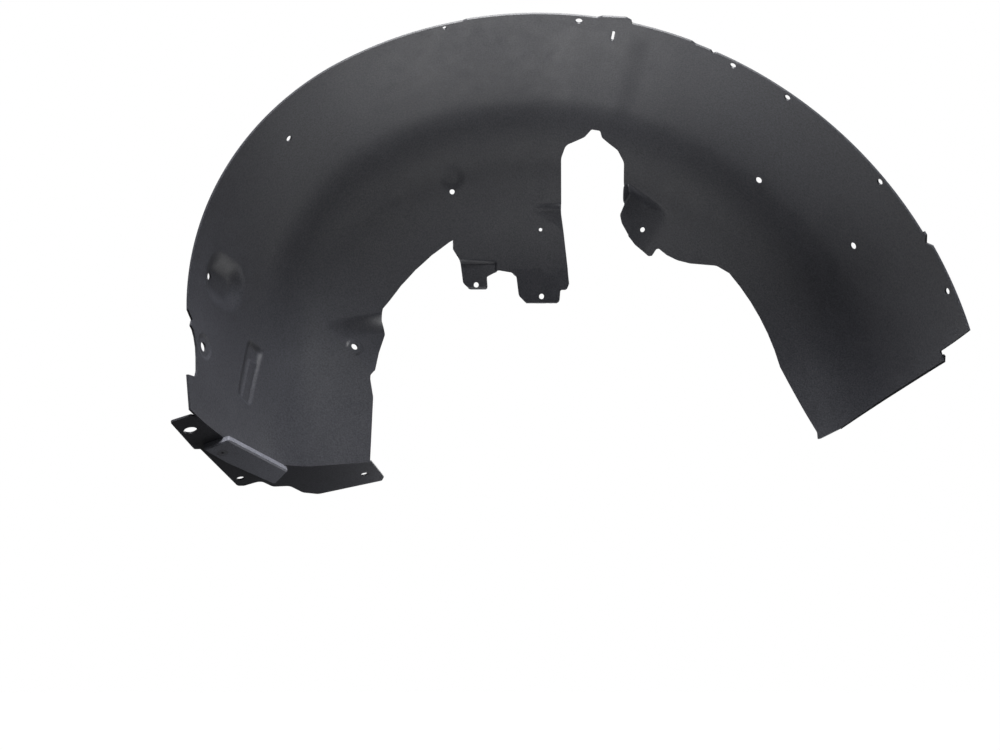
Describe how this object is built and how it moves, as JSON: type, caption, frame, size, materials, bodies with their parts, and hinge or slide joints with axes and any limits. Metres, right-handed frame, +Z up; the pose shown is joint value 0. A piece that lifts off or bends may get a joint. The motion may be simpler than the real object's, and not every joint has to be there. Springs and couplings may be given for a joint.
{
  "type": "inner mudguard",
  "caption": "Moulded inner wheel arch liner with a strut slot, screw seats, lugs and a turned sill flange that carries a riveted sealing pad.",
  "frame": {"origin": "middle of the sheet in the hole at the top of the lip, where the part is hung from the body", "axes": "+X along the vehicle from the sill towards the bumper, +Y inboard along the wheel's axle, +Z up"},
  "size_m": [0.7391, 0.259, 0.467],
  "materials": {
    "liner": "fine-grained moulded plastic, matt",
    "pad": "smooth dark grey rubber",
    "rivet": "black moulded plastic"
  },
  "bodies": {
    "root": {"liner": "liner", "sill_pad": "pad", "pad_rivet": "rivet"}
  },
  "joints": []
}
